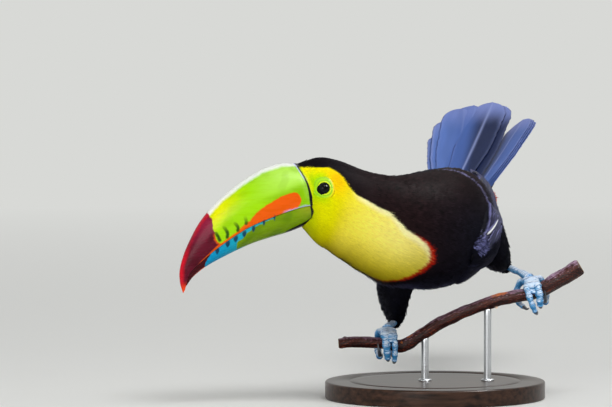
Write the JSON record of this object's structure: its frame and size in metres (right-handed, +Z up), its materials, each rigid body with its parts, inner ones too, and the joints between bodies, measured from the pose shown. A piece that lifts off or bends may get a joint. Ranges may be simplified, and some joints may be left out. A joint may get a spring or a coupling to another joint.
{
  "type": "keel-billed toucan",
  "caption": "Still, life-size model of a keel-billed toucan leaning forward on a short cut branch, held over a round base by steel rods.",
  "frame": {"origin": "middle of the base's underside", "axes": "+Z up, +X along the branch towards its higher end, and the bird's breast faces -Y"},
  "size_m": [0.3222, 0.3492, 0.2246],
  "materials": {
    "plumage_black": "black contour feathers with a faint maroon sheen, blue-grey on the tail",
    "plumage_yellow": "short silky yellow feathers",
    "bill": "glossy horn, green with orange, blue and dark red",
    "eye": "wet gloss",
    "foot_skin": "light blue scutes",
    "claw": "smooth dark horn",
    "bark": "thin glossy bark",
    "stand_wood": "dark stained, satin lacquer",
    "rod_steel": "brushed"
  },
  "bodies": {
    "root": {"head": "plumage_yellow", "neck": "plumage_yellow", "trunk": "plumage_black", "bill_upper": "bill", "bill_lower": "bill", "eye_left": "eye", "eye_right": "eye", "wing_left": "plumage_black", "wing_right": "plumage_black", "tail": "plumage_black", "thigh_left": "plumage_black", "thigh_right": "plumage_black", "shank_left": "foot_skin", "shank_right": "foot_skin", "toe_left_1": "foot_skin", "toe_left_2": "foot_skin", "toe_left_3": "foot_skin", "toe_left_4": "foot_skin", "toe_right_1": "foot_skin", "toe_right_2": "foot_skin", "toe_right_3": "foot_skin", "toe_right_4": "foot_skin", "claw_left_1": "claw", "claw_left_2": "claw", "claw_left_3": "claw", "claw_left_4": "claw", "claw_right_1": "claw", "claw_right_2": "claw", "claw_right_3": "claw", "claw_right_4": "claw", "perch": "bark", "stand_base": "stand_wood", "stand_rod_1": "rod_steel", "stand_rod_2": "rod_steel"}
  },
  "joints": []
}
